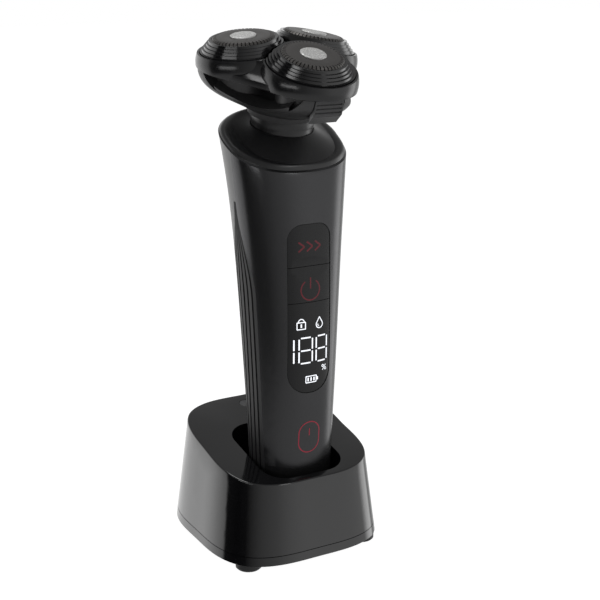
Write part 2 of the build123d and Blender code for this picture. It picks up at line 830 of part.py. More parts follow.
def shoulder_cap():
    """Domed cover between the handle's rim and the neck, with a plug inside the shells."""
    top = Location((0, NECK_Y, NECK_Z + SHOULDER_TOP), (SHOULDER_LEAN, 0, 0))
    ring = top * oval(COLLAR_R + SHOULDER_LIP, COLLAR_R + SHOULDER_LIP, 2.0)
    foot = rim_place(RIM_LEAN, 0.0, RIM_CHAMFER, RIM_CHAMFER)
    edge = rim_place(RIM_LEAN, SHOULDER_RISE, SHOULDER_INSET, SHOULDER_INSET)
    crown = rim_place(CROWN_LEAN, CROWN_RISE, CROWN_INSET_X, CROWN_INSET_Y)
    dome = loft([foot, edge, crown])
    dome += loft([crown, ring], ruled=True)
    plug = handle_body(HANDLE_WALL + SEAT_GAP) - handle_body(2 * HANDLE_WALL)
    plug_z = HANDLE_Z + RIM_RISE - PLUG_DEPTH
    rim = Plane(Location((0, RIM_CENTRE, plug_z), (RIM_LEAN, 0, 0)))
    cap = dome + split(plug, bisect_by=rim, keep=Keep.TOP)
    hole = Pos(0, NECK_Y, 0) * rod(COLLAR_R + SEAT_GAP, NECK_Z - REACH, NECK_Z + REACH)
    return cap - [hole, Pos(0, NECK_Y, NECK_Z) * Sphere(BALL_R + OPEN_GAP)]


def neck_collar():
    """Fixed neck: round stem with a ball zone on top, hollow for the gimbal."""
    collar = rod(COLLAR_R, COLLAR_FOOT, 0)
    collar += Sphere(BALL_R) & (Rot(HEAD_TILT, 0, 0) * slab(BALL_LOW, COLLAR_TOP))
    bore = COLLAR_R - COLLAR_WALL
    collar -= rod(bore, COLLAR_FOOT + COLLAR_FLOOR, BALL_R)
    collar -= rod(SEAL_R, COLLAR_FOOT + COLLAR_FLOOR - SEAL_THICK, 0)
    collar -= rod(SHAFT_R + 4 * RUN_GAP, COLLAR_FOOT - 1, 0)
    collar -= cross_rod(PIVOT_R + RUN_GAP, pivot_end() + SEAT_GAP, 0, 0)
    return Pos(0, NECK_Y, NECK_Z) * collar


def neck_seal():
    low = COLLAR_FOOT + COLLAR_FLOOR - SEAL_THICK
    seal = tube(SEAL_R, SHAFT_R + RUN_GAP, low, low + SEAL_THICK)
    return Pos(0, NECK_Y, NECK_Z) * seal


def pivot_end():
    """Distance of the outer pivots' ends from the neck's axis."""
    return GIMBAL_R + GIMBAL_WALL + PIVOT_LENGTH


def gimbal_ring():
    """Ring that rocks on the collar about X and carries the head about the front-back line."""
    ring = tube(GIMBAL_R + GIMBAL_WALL, GIMBAL_R, -GIMBAL_HIGH / 2, GIMBAL_HIGH / 2)
    outer = GIMBAL_R + GIMBAL_WALL / 2
    for side in (1, -1):
        pin = rod(PIVOT_R, outer, pivot_end())
        ring += Rot(0, 90 * side, 0) * pin
        inner = rod(PIVOT_R, GIMBAL_R - PIVOT_LENGTH, outer)
        ring += Rot(90 * side, 0, 0) * inner
    return HEAD * ring


# Head base and gears


def lobed(reach, rho):
    """Rounded triangle: three arcs of radius rho about points at a distance, joined by lines."""
    edges = []
    corners = []
    for angle in LOBES.values():
        centre = Vector(reach * cos(radians(angle)), reach * sin(radians(angle)))
        edges.append(CenterArc(centre, rho, angle - 60, 120))
        corners.append((edges[-1] @ 0, edges[-1] @ 1))
    for i, (_, end) in enumerate(corners):
        edges.append(Line(end, corners[(i + 1) % len(corners)][0]))
    return make_face(edges)


def spun(angle):
    return Rot(0, 0, angle)


def gear_pocket(grow):
    """Outline of the space round the four gears."""
    outline = Circle(MAIN_TIP + POCKET_GAP + grow)
    for angle in LOBES.values():
        outline += spun(angle) * Pos(SPINDLE_AT, 0) * Circle(GEAR_TIP + POCKET_GAP + grow)
    return outline


def latch_profile(front, push, grow):
    """Side profile of the release button in the plane of symmetry, as (y, z)."""
    top = BOWL_TOP_Z
    low = LATCH_LOW - grow
    points = [
        (-front, top),
        (-front + LATCH_DRAFT, low + LATCH_ROUND),
        (-front + LATCH_ROUND, low),
        (-LATCH_BACK_LOW + push + grow, low),
        (-LATCH_STEP + push + grow, LATCH_STEP_Z + grow),
        (-LATCH_BACK_TOP + push + grow, top),
    ]
    return make_face(Polyline([(0, y, z) for y, z in points], close=True))


def release_block(front, push, grow):
    """Block of the release button, or of its slot when it grows."""
    half = LATCH_HALF_X + grow
    return extrude(latch_profile(front, push, grow), half, (1, 0, 0), both=True)


def release_button():
    """Ribbed push button at the front of the head."""
    button = release_block(LATCH_FRONT, 0.0, 0.0)
    step = (BOWL_TOP_Z - LATCH_LOW - LATCH_ROUND / 2) / (LATCH_RIBS + 1)
    for i in range(1, LATCH_RIBS + 1):
        z = BOWL_TOP_Z - i * step
        y = -LATCH_FRONT + LATCH_DRAFT * i / LATCH_RIBS
        half_x = LATCH_HALF_X - LATCH_GROOVE
        half_z = LATCH_GROOVE / 2
        button -= block(-half_x, half_x, y - REACH, y + LATCH_GROOVE, z - half_z, z + half_z)
    return HEAD * button


def head_base():
    """Lower shell of the head: skirt, bowl with side windows, gear floor and hinge lug."""
    skirt = turned(
        [(0, SKIRT_FOOT), (SKIRT_LOW_R, SKIRT_FOOT), (SKIRT_TOP_R, SKIRT_TOP), (0, SKIRT_TOP)]
    )
    bowl = loft(
        [
            Pos(0, 0, SKIRT_TOP - BOWL_START) * lobed(SKIRT_TOP_D, SKIRT_TOP_R - SKIRT_WALL),
            Pos(0, 0, BOWL_LOW_Z) * lobed(BOWL_LOW_D, BOWL_LOW_RHO),
            Pos(0, 0, BOWL_MID_Z) * lobed(BOWL_MID_D, BOWL_MID_RHO),
            Pos(0, 0, BOWL_TOP_Z) * lobed(BOWL_TOP_D, BOWL_TOP_RHO),
        ]
    )
    base = skirt + bowl + hinge_lug()
    base -= Pos(0, 0, FLOOR_HIGH) * extrude(gear_pocket(0.0), BOWL_TOP_Z)
    for angle in (-30.0, -150.0):
        base -= spun(angle) * side_scoop(angle)
    socket = Sphere(BALL_R + SLIDE_GAP) & slab(-BALL_R, FLOOR_LOW)
    sleeve = tube(SLEEVE_R, SLEEVE_R - SLEEVE_WALL, SLEEVE_FOOT, FLOOR_LOW)
    base = base - socket + sleeve
    base -= rod(GEAR_SHAFT_R + RUN_GAP, 0, FLOOR_HIGH + 1)
    base -= Rot(90, 0, 0) * Cylinder(PIVOT_R + RUN_GAP, 2 * SLEEVE_R + 1)
    for angle in LOBES.values():
        post = rod(POST_PIN_R, FLOOR_HIGH, FLOOR_HIGH + POST_PIN_HIGH)
        base += spun(angle) * Pos(SPINDLE_AT, 0, 0) * post
    base -= release_block(REACH, LATCH_TRAVEL + OPEN_GAP, OPEN_GAP)
    return HEAD * base


def side_scoop(angle):
    """Window in the bowl's side that leaves the gear housing standing."""
    scoop = Pos(SCOOP_START, 0, SCOOP_Z) * Rot(0, 90 + SCOOP_LEAN, 0) * rod(SCOOP_R, -REACH, REACH)
    scoop = scoop & block(SCOOP_START - 2, REACH, -REACH, REACH, 0, REACH)
    housing = Pos(0, 0, -1) * extrude(gear_pocket(POCKET_WALL), REACH)
    return scoop - spun(-angle) * housing


def hinge_lug():
    """Post at the rear of the head that carries the hinge pin."""
    back = HINGE_V + HINGE_R
    front = back - LUG_THICK
    lug = block(-LUG_HALF_X, LUG_HALF_X, front, back, BOWL_MID_Z, HINGE_W)
    lug += block(-LUG_HALF_X, LUG_HALF_X, front - LUG_ROOT, back, BOWL_MID_Z, BOWL_TOP_Z)
    lug += cross_rod(HINGE_R, LUG_HALF_X, HINGE_V, HINGE_W)
    return lug - cross_rod(HINGE_PIN_R + RUN_GAP, REACH, HINGE_V, HINGE_W)


def gear_face(teeth, turn):
    """Spur gear outline with involute flanks, one tooth centred on the turn angle."""
    pitch_r = MODULE * teeth / 2
    base_r = pitch_r * cos(radians(PRESSURE))
    tip_r = pitch_r + MODULE
    root_r = pitch_r - TOOTH_FOOT
    half = pi / (2 * teeth) - BACKLASH / (2 * pitch_r)

    def roll(radius):
        lean = acos(base_r / radius)
        return tan(lean) - lean

    def spread(radius):
        return half + roll(pitch_r) - roll(radius)

    flank = [(root_r, spread(base_r)), (pitch_r, half), (tip_r, spread(tip_r))]
    points = []
    for k in range(teeth):
        middle = radians(turn) + 2 * pi * k / teeth
        for radius, angle in flank:
            points.append((radius * cos(middle - angle), radius * sin(middle - angle)))
        for radius, angle in reversed(flank):
            points.append((radius * cos(middle + angle), radius * sin(middle + angle)))
    return make_face(Polyline(points, close=True))


def main_gear():
    gear = Pos(0, 0, GEAR_Z) * extrude(gear_face(MAIN_TEETH, 0.0), GEAR_HIGH)
    gear += rod(GEAR_SHAFT_R, SLOT_TOP, GEAR_Z)
    return HEAD * gear


def drive_socket():
    """Slotted socket under the main gear that takes the cross pin of the motor shaft."""
    socket = rod(SOCKET_R, SOCKET_FOOT, SOCKET_TOP)
    socket -= rod(SOCKET_BORE, SOCKET_FOOT - 1, SLOT_TOP)
    socket -= rod(GEAR_SHAFT_R, 0, SOCKET_TOP + 1)
    slot = CROSS_R + 3 * RUN_GAP
    socket -= block(-REACH, REACH, -slot, slot, SOCKET_FOOT - 1, SLOT_TOP)
    return HEAD * socket


def mesh_turn(angle):
    """Turn of a drive gear that sets its teeth into the gaps of the main gear."""
    step = 360.0 / MAIN_TEETH
    share = (angle / step) % 1.0
    return angle + 180.0 + (share - 0.5) * 360.0 / DRIVE_TEETH


def drive_gear(angle):
    gear = extrude(gear_face(DRIVE_TEETH, mesh_turn(angle)), GEAR_HIGH)
    gear += rod(HUB_R, GEAR_HIGH, FLOOR_HIGH + POST_PIN_HIGH - GEAR_Z)
    gear -= rod(POST_PIN_R + RUN_GAP, -1, FLOOR_HIGH + POST_PIN_HIGH - GEAR_Z + 1)
    spot = spun(angle) * Pos(SPINDLE_AT, 0, GEAR_Z) * spun(-angle)
    return HEAD * spot * gear


def drive_spindle(angle):
    """Stepped spindle on a drive gear, with the bar that turns a cutter."""
    low = FLOOR_HIGH + POST_PIN_HIGH
    tip = HEAD_RISE - DRIVE_DEPTH * cos(radians(UNIT_TILT)) + SPINDLE_TIP_LIFT
    spindle = rod(SPINDLE_R, low, SPINDLE_NECK_Z) + rod(SPINDLE_TIP_R, low, tip)
    half = DRIVE_BAR_HALF
    wide = DRIVE_BAR_WIDE / 2
    spindle += block(-half, half, -wide, wide, tip - SPINDLE_TIP_LONG, tip)
    return HEAD * spun(angle) * Pos(SPINDLE_AT, 0, 0) * spindle


def gear_cover():
    """Lid over the gears, flush with the top of the bowl."""
    cover = extrude(gear_pocket(-SEAT_GAP), COVER_THICK)
    for angle in LOBES.values():
        cover -= spun(angle) * Pos(SPINDLE_AT, 0, -1) * extrude(Circle(HUB_R + SLIDE_GAP), REACH)
    return HEAD * Pos(0, 0, BOWL_TOP_Z - COVER_THICK) * cover


# Head frame and shaving units


def unit_place(angle):
    """Frame of a shaving unit: X outward, Z out of the guard, origin on its rim plane."""
    place = Location((UNIT_AT, 0, HEAD_RISE), (0, UNIT_TILT, 0))
    return spun(angle) * place


def cup_form():
    """Solid bulged body of a cup, before its bore."""
    foot = Vector(CUP_FOOT_R, 0, CUP_FOOT_T)
    rim = Vector(CUP_RIM_R, 0, CUP_RIM_T)
    side = ThreePointArc(foot, (CUP_R, 0, CUP_BULGE_T), rim)
    rest = Polyline([rim, (0, 0, CUP_RIM_T), (0, 0, CUP_FOOT_T), foot])
    return revolve(make_face([side, rest]), Axis.Z)


def head_frame():
    """Upper frame: rounded triangle plate, three cups, concave webs and hinge ears."""
    low = BOWL_TOP_Z + FRAME_GAP
    plate_top = low + PLATE_THICK
    frame = Pos(0, 0, low) * extrude(lobed(BOWL_TOP_D, BOWL_TOP_RHO), PLATE_THICK)
    frame += loft(
        [
            Pos(0, 0, plate_top) * lobed(BOWL_TOP_D, BOWL_TOP_RHO),
            Pos(0, 0, WEB_MID_Z) * lobed(WEB_MID_D, WEB_MID_RHO),
            Pos(0, 0, WEB_TOP_Z) * lobed(WEB_TOP_D, WEB_TOP_RHO),
        ]
    )
    cup = cup_form()
    bore = rod(CUP_BORE, CUP_FLOOR_T, REACH) + rod(CUP_HOLE, -REACH, CUP_FLOOR_T)
    for angle in LOBES.values():
        frame += unit_place(angle) * cup
    frame += hinge_ears()
    for angle in LOBES.values():
        frame -= unit_place(angle) * bore
    frame -= rod(UNIT_AT / 4, plate_top, REACH)
    return HEAD * (frame & slab(low, REACH))


def hinge_ears():
    """Two ears beside the hinge lug."""
    ears = None
    for side in (1, -1):
        near = LUG_HALF_X + SLIDE_GAP
        middle = side * (near + EAR_WIDTH / 2)
        ear = cross_rod(HINGE_R, EAR_WIDTH / 2, HINGE_V, HINGE_W)
        half = EAR_WIDTH / 2
        ear += block(-half, half, WEB_TOP_D, HINGE_V, HINGE_W - HINGE_R, HINGE_W + HINGE_R)
        ear = Pos(middle, 0, 0) * (ear - cross_rod(HINGE_PIN_R, REACH, HINGE_V, HINGE_W))
        ears = ear if ears is None else ears + ear
    return ears


def hinge_pin():
    half = LUG_HALF_X + SLIDE_GAP + EAR_WIDTH
    return HEAD * cross_rod(HINGE_PIN_R, half, HINGE_V, HINGE_W)


def cutter_retainer():
    """Plate under the three units, with a pair of rocker posts for each ring."""
    plate = None
    low = CUP_FLOOR_T + SEAT_GAP
    for angle in LOBES.values():
        seat = rod(RETAINER_R, low, low + RETAINER_THICK)
        for side in (1, -1):
            post = rod(ROCKER_R, low, RING_FOOT - RUN_GAP)
            seat += Pos(0, side * ROCKER_AT, 0) * post
        seat = unit_place(angle) * seat
        plate = seat if plate is None else plate + seat
    for angle in LOBES.values():
        plate -= unit_place(angle) * rod(RETAINER_HOLE, low - 3, low + 4)
    return HEAD * plate


def unit_sector(angle, space):
    """Upright wedge of 120 degrees about the head axis, moved out by a space."""
    tip = space / sin(radians(60))
    far = REACH * 2
    side = Vector(cos(radians(60)), sin(radians(60))) * far
    corner = tip + side.X
    points = [(tip, 0), (corner, side.Y), (far * 2, side.Y), (far * 2, -side.Y), (corner, -side.Y)]
    outline = make_face(Polyline(points, close=True))
    return spun(angle) * Pos(0, 0, -REACH) * extrude(outline, REACH * 3)


def guard_ring(angle):
    """Stepped ring round a guard, cut flat towards its neighbours."""
    profile = [(GUARD_R + SEAT_GAP, RING_TOP_T), (RING_TOP_R, RING_TOP_T)]
    drop = (RING_TOP_T - RING_STEP_FOOT) / RING_STEPS
    step = (RING_R - RING_TOP_R) / RING_STEPS
    for i in range(1, RING_STEPS + 1):
        profile.append((RING_TOP_R + (i - 0.75) * step, RING_TOP_T - i * drop))
        profile.append((RING_TOP_R + i * step, RING_TOP_T - i * drop))
    profile += [
        (RING_R, RING_FOOT),
        (GUARD_FLANGE_R + SEAT_GAP, RING_FOOT),
        (GUARD_FLANGE_R + SEAT_GAP, -GUARD_SKIRT),
        (GUARD_R + SEAT_GAP, -GUARD_SKIRT),
    ]
    ring = unit_place(angle) * turned(profile)
    return HEAD * (ring & unit_sector(angle, UNIT_SPACE))


def guard(angle):
    """Slotted shaving guard with a seat for the centre disc."""
    edge = GUARD_R - GUARD_BEVEL
    inner = GUARD_R - GUARD_SHEET
    under = -GUARD_SHEET / 2
    profile = [
        (0, 0),
        (DISC_R + SEAT_GAP, 0),
        (DISC_R + SEAT_GAP, GUARD_CROWN - GUARD_DISH),
        ((DISC_R + edge) / 2, GUARD_CROWN),
        (edge, GUARD_CROWN - GUARD_FALL),
        (GUARD_R, GUARD_BEVEL_T),
        (GUARD_R, -GUARD_SKIRT),
        (GUARD_FLANGE_R, -GUARD_SKIRT),
        (GUARD_FLANGE_R, -GUARD_SKIRT - GUARD_FLANGE),
        (inner, -GUARD_SKIRT - GUARD_FLANGE),
        (inner, under),
        (0, under),
    ]
    cap = turned(profile)
    slot = block(SLOT_INNER_R, GUARD_R + 1, -GUARD_SLOT / 2, GUARD_SLOT / 2, -SLOT_DEPTH, 2)
    slots = [spun(360.0 * k / GUARD_SLOTS) * slot for k in range(GUARD_SLOTS)]
    cap = cap - slots
    return HEAD * unit_place(angle) * cap


def centre_disc(angle):
    top = DISC_THICK
    disc = turned(
        [
            (0, 0),
            (DISC_R, 0),
            (DISC_R, top - DISC_BEVEL_HIGH),
            (DISC_R - DISC_BEVEL, top),
            (0, top),
        ]
    )
    return HEAD * unit_place(angle) * disc


def cutter(angle):
    """Rotating cutter: plate, slanted blades and a slotted hub."""
    blade_low = CUTTER_TOP - BLADE_HIGH
    plate_low = blade_low - CUTTER_PLATE
    wheel = tube(CUTTER_R, WHEEL_INNER_R, plate_low, blade_low)
    wheel += rod(BLADE_INNER_R - 1, plate_low, blade_low)
    half = BLADE_THICK / 2
    blade = block(BLADE_INNER_R, CUTTER_R - SEAT_GAP, -half, half, -BLADE_HIGH, BLADE_HIGH)
    blade = Pos(0, 0, blade_low) * Rot(BLADE_LEAN, 0, 0) * blade
    for k in range(CUTTER_BLADES):
        wheel += spun(360.0 * k / CUTTER_BLADES) * blade
    wheel = wheel & slab(plate_low, CUTTER_TOP)
    wheel += rod(CUTTER_HUB_R, CUTTER_HUB_FOOT, blade_low)
    half = DRIVE_BAR_WIDE / 2 + SLIDE_GAP
    wheel -= block(-REACH, REACH, -half, half, CUTTER_HUB_FOOT - 1, plate_low - SOCKET_ROOF)
    wheel -= rod(SPINDLE_TIP_R + OPEN_GAP, CUTTER_HUB_FOOT - 1, plate_low - SOCKET_ROOF)
    return HEAD * unit_place(angle) * wheel


PIECES = {
    "stand_shell": stand_shell,
    "stand_base": stand_base,
    "stand_feet": stand_feet,
    "stand_screws": stand_screws,
    "stand_board": stand_board,
    "charge_pins": charge_pins,
    "stand_inlet": stand_inlet,
    "stand_lamp": stand_lamp,
    "front_shell": front_shell,
    "rear_shell": rear_shell,
    "bottom_cap": bottom_cap,
    "charge_contacts": charge_contacts,
    "display_lens": display_lens,
    "display_module": display_module,
    "power_button": power_button,
    "boost_button": boost_button,
    "button_switches": button_switches,
    "main_board": main_board,
    "chassis": chassis,
    "battery": battery,
    "drive_motor": drive_motor,
    "motor_shaft": motor_shaft,
    "shoulder_cap": shoulder_cap,
    "neck_collar": neck_collar,
    "neck_seal": neck_seal,
    "gimbal_ring": gimbal_ring,
    "head_base": head_base,
    "release_button": release_button,
    "main_gear": main_gear,
    "drive_socket": drive_socket,
    "gear_cover": gear_cover,
    "head_frame": head_frame,
    "hinge_pin": hinge_pin,
    "cutter_retainer": cutter_retainer,
}
SIDE_PIECES = {
    "grip_pad": grip_pad,
    "grip_ribs": grip_ribs,
}
UNIT_PIECES = {
    "drive_gear": drive_gear,
    "drive_spindle": drive_spindle,
    "guard_ring": guard_ring,
    "guard": guard,
    "centre_disc": centre_disc,
    "cutter": cutter,
}


def main():
    os.makedirs("parts", exist_ok=True)
    for name, make in SIDE_PIECES.items():
        piece = make()
        export_step(piece, f"parts/right_{name}.step")
        export_step(mirror(piece, Plane.YZ), f"parts/left_{name}.step")
    for name, make in PIECES.items():
        export_step(make(), f"parts/{name}.step")
    for name, make in UNIT_PIECES.items():
        for side, angle in LOBES.items():
            export_step(make(angle), f"parts/{side}_{name}.step")


main()
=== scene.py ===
import json
from math import cos, pi, radians, sin, sqrt, tan

import bpy
from mathutils import Matrix, Vector
from mathutils.bvhtree import BVHTree


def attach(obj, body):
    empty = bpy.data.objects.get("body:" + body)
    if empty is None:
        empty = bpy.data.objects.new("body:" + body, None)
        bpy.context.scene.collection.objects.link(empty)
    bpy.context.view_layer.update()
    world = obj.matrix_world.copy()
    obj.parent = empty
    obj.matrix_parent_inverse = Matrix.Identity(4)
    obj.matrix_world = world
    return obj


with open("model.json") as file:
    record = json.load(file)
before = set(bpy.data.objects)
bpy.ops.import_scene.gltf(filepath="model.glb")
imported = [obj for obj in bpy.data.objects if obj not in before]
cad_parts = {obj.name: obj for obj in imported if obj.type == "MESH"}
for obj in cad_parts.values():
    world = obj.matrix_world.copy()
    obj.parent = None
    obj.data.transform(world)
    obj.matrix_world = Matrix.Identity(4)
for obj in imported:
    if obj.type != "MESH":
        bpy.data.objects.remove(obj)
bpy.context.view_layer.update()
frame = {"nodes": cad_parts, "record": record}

NODES = frame["nodes"]
MM = 0.001


# Materials

GRAIN_DEPTH = 0.05 * MM
NOISE_LOW, NOISE_HIGH = 0.3, 0.7


def ramp_noise(nodes, links, scale, detail, low, high, stretch=(1, 1, 1)):
    """Noise in object space, mapped between two colours."""
    coords = nodes.new("ShaderNodeTexCoord")
    mapping = nodes.new("ShaderNodeMapping")
    mapping.inputs["Scale"].default_value = stretch
    noise = nodes.new("ShaderNodeTexNoise")
    noise.inputs["Scale"].default_value = scale
    noise.inputs["Detail"].default_value = detail
    ramp = nodes.new("ShaderNodeValToRGB")
    ramp.color_ramp.elements[0].position = NOISE_LOW
    ramp.color_ramp.elements[1].position = NOISE_HIGH
    ramp.color_ramp.elements[0].color = (*low, 1)
    ramp.color_ramp.elements[1].color = (*high, 1)
    links.new(coords.outputs["Object"], mapping.inputs["Vector"])
    links.new(mapping.outputs["Vector"], noise.inputs["Vector"])
    links.new(noise.outputs["Fac"], ramp.inputs["Fac"])
    return noise, ramp


def surface(name, colour, rough, metal=0.0, vary=0.12, scale=900.0, bump=0.0, spec=0.5,
            stretch=(1, 1, 1), rough_vary=0.04):
    """Procedural surface: fine noise in colour and roughness, with an optional grain."""
    made = bpy.data.materials.new(name)
    made.use_nodes = True
    nodes = made.node_tree.nodes
    links = made.node_tree.links
    shader = nodes["Principled BSDF"]
    low = [c * (1 - vary) for c in colour]
    high = [min(1.0, c * (1 + vary)) for c in colour]
    noise, ramp = ramp_noise(nodes, links, scale, 4.0, low, high, stretch)
    links.new(ramp.outputs["Color"], shader.inputs["Base Color"])
    spread = nodes.new("ShaderNodeMapRange")
    spread.inputs["To Min"].default_value = max(0.01, rough - rough_vary)
    spread.inputs["To Max"].default_value = min(1.0, rough + rough_vary)
    links.new(noise.outputs["Fac"], spread.inputs["Value"])
    links.new(spread.outputs["Result"], shader.inputs["Roughness"])
    shader.inputs["Metallic"].default_value = metal
    shader.inputs["Specular IOR Level"].default_value = spec
    if bump > 0:
        grain = nodes.new("ShaderNodeBump")
        grain.inputs["Strength"].default_value = bump
        grain.inputs["Distance"].default_value = GRAIN_DEPTH
        links.new(noise.outputs["Fac"], grain.inputs["Height"])
        links.new(grain.outputs["Normal"], shader.inputs["Normal"])
    return made


def glow(name, colour, strength):
    """Lit display mark with a slightly uneven glow."""
    made = bpy.data.materials.new(name)
    made.use_nodes = True
    nodes = made.node_tree.nodes
    links = made.node_tree.links
    shader = nodes["Principled BSDF"]
    low = [c * 0.88 for c in colour]
    _, ramp = ramp_noise(nodes, links, 700.0, 2.0, low, colour)
    links.new(ramp.outputs["Color"], shader.inputs["Base Color"])
    links.new(ramp.outputs["Color"], shader.inputs["Emission Color"])
    shader.inputs["Emission Strength"].default_value = strength
    shader.inputs["Roughness"].default_value = 0.4
    return made


def speckled(name, dark, light, rough):
    """Blasted metal: coarse light and dark grains."""
    made = surface(name, light, rough, metal=1.0, vary=0.1, scale=2500.0, bump=0.5)
    nodes = made.node_tree.nodes
    links = made.node_tree.links
    shader = nodes["Principled BSDF"]
    coords = nodes.new("ShaderNodeTexCoord")
    cells = nodes.new("ShaderNodeTexVoronoi")
    cells.inputs["Scale"].default_value = 1700.0
    ramp = nodes.new("ShaderNodeValToRGB")
    ramp.color_ramp.elements[0].position = 0.1
    ramp.color_ramp.elements[1].position = 0.55
    ramp.color_ramp.elements[0].color = (*light, 1)
    ramp.color_ramp.elements[1].color = (*dark, 1)
    links.new(coords.outputs["Object"], cells.inputs["Vector"])
    links.new(cells.outputs["Distance"], ramp.inputs["Fac"])
    links.new(ramp.outputs["Color"], shader.inputs["Base Color"])
    return made


SURFACES = {
    "stand_black": surface("stand_black", (0.008, 0.008, 0.009), 0.09, spec=0.75, rough_vary=0.01),
    "soft_black": surface("soft_black", (0.016, 0.016, 0.017), 0.55, bump=0.3, scale=1800.0),
    "steel": surface("steel", (0.6, 0.6, 0.61), 0.3, metal=1.0, stretch=(1, 1, 14)),
    "board_green": surface("board_green", (0.02, 0.16, 0.06), 0.5, scale=300.0),
    "contact_gold": surface("contact_gold", (0.83, 0.62, 0.25), 0.25, metal=1.0),
    "light_guide": surface("light_guide", (0.1, 0.1, 0.104), 0.4),
    "gunmetal": surface(
        "gunmetal", (0.056, 0.056, 0.058), 0.24, metal=0.75, vary=0.08, scale=2600.0, bump=0.12
    ),
    "body_black": surface("body_black", (0.016, 0.016, 0.017), 0.32),
    "panel_black": surface("panel_black", (0.01, 0.01, 0.011), 0.28, spec=0.35),
    "module_grey": surface("module_grey", (0.25, 0.25, 0.25), 0.5),
    "cell_wrap": surface("cell_wrap", (0.05, 0.16, 0.3), 0.35),
    "gloss_black": surface("gloss_black", (0.01, 0.01, 0.011), 0.14, spec=0.6),
    # hull_black is lighter than the other blacks: painted light, for the light the bowl and its window
    # walls catch from the left
    "hull_black": surface("hull_black", (0.042, 0.042, 0.043), 0.44, spec=0.6),
    "frame_black": surface("frame_black", (0.01, 0.01, 0.011), 0.22),
    "latch_grey": surface("latch_grey", (0.07, 0.07, 0.072), 0.42, bump=0.1),
    "gear_white": surface("gear_white", (0.72, 0.72, 0.7), 0.45),
    "guard_steel": surface(
        "guard_steel", (0.115, 0.11, 0.106), 0.42, metal=0.9, scale=2200.0, bump=0.2
    ),
    "silver": speckled("silver", (0.62, 0.62, 0.61), (0.97, 0.97, 0.96), 0.6),
}
WHITE_GLOW = glow("display_white", (0.92, 0.95, 1.0), 1.1)
RED_GLOW = glow("display_red", (0.1, 0.004, 0.01), 0.5)
OVAL_GLOW = glow("mark_red", (0.2, 0.008, 0.022), 0.8)


def edge_shading(angle):
    """Modifier group: faces shade smoothly except across edges sharper than an angle."""
    group = bpy.data.node_groups.new("edge_shading", "GeometryNodeTree")
    group.interface.new_socket("Geometry", in_out="INPUT", socket_type="NodeSocketGeometry")
    group.interface.new_socket("Geometry", in_out="OUTPUT", socket_type="NodeSocketGeometry")
    nodes = group.nodes
    links = group.links
    start = nodes.new("NodeGroupInput")
    end = nodes.new("NodeGroupOutput")
    bend = nodes.new("GeometryNodeInputMeshEdgeAngle")
    sharp = nodes.new("FunctionNodeCompare")
    sharp.data_type = "FLOAT"
    sharp.operation = "GREATER_THAN"
    sharp.inputs[1].default_value = angle
    smooth = nodes.new("GeometryNodeSetShadeSmooth")
    smooth.domain = "FACE"
    crease = nodes.new("GeometryNodeSetShadeSmooth")
    crease.domain = "EDGE"
    crease.inputs["Shade Smooth"].default_value = False
    links.new(start.outputs[0], smooth.inputs["Geometry"])
    links.new(smooth.outputs["Geometry"], crease.inputs["Geometry"])
    links.new(bend.outputs["Unsigned Angle"], sharp.inputs[0])
    links.new(sharp.outputs["Result"], crease.inputs["Selection"])
    links.new(crease.outputs["Geometry"], end.inputs[0])
    return group


SHARP_EDGE = 24
WELD = 0.002 * MM
EDGES = edge_shading(radians(SHARP_EDGE))
# The shoulder and neck share the rings' black plastic, with a satin finish; the bowl is satin too, in
# hull_black, a lighter black whose colour is painted light for the light it catches from the left
SATIN_AND_PAINTED_LIGHT = {"shoulder_cap": "body_black", "neck_collar": "body_black", "head_base": "hull_black"}
slot_of = {part["node"]: part["material_slot"] for part in frame["record"]["subparts"]}
for name, node in NODES.items():
    node.data.materials.clear()
    node.data.materials.append(SURFACES[SATIN_AND_PAINTED_LIGHT.get(name, slot_of[name])])
    weld = node.modifiers.new("weld", "WELD")
    weld.merge_threshold = WELD
    shading = node.modifiers.new("edges", "NODES")
    shading.node_group = EDGES


def search_tree(names):
    """Search tree over some nodes, for laying pieces on their faces."""
    points = []
    faces = []
    for name in names:
        mesh = NODES[name].data
        start = len(points)
        points += [vertex.co.copy() for vertex in mesh.vertices]
        faces += [[start + i for i in polygon.vertices] for polygon in mesh.polygons]
    return BVHTree.FromPolygons(points, faces)


# Walls under the bowl's side windows: the solids' windows reach lower than the photo's.
# Lengths are in millimetres and angles in degrees, in the head's own frame.

HEAD_Y, HEAD_Z, HEAD_TILT = -3.5, 160.0, 12
HEAD_PLACE = Matrix.Translation((0, HEAD_Y * MM, HEAD_Z * MM)) @ Matrix.Rotation(radians(HEAD_TILT), 4, "X")
# The wall's top edge is an arc of radius WALL_ARC, lowest in the middle at WALL_LOW; the wall lies
# WALL_INSET inside the bowl's surface, which is found from OUTSIDE
REAR = 90
WINDOW_TURN = 120
WALL_HALF = 34
WALL_COLUMNS = 41
WALL_FOOT = 4.2
WALL_ROWS = 6
WALL_LOW = 7.4
WALL_ARC = 18.0
WALL_AT = 21.0
WALL_INSET = 0.12
LEDGE = 5.0
LEDGE_LEAN = 20
OUTSIDE = 45.0
BOWL = search_tree(("head_base",))


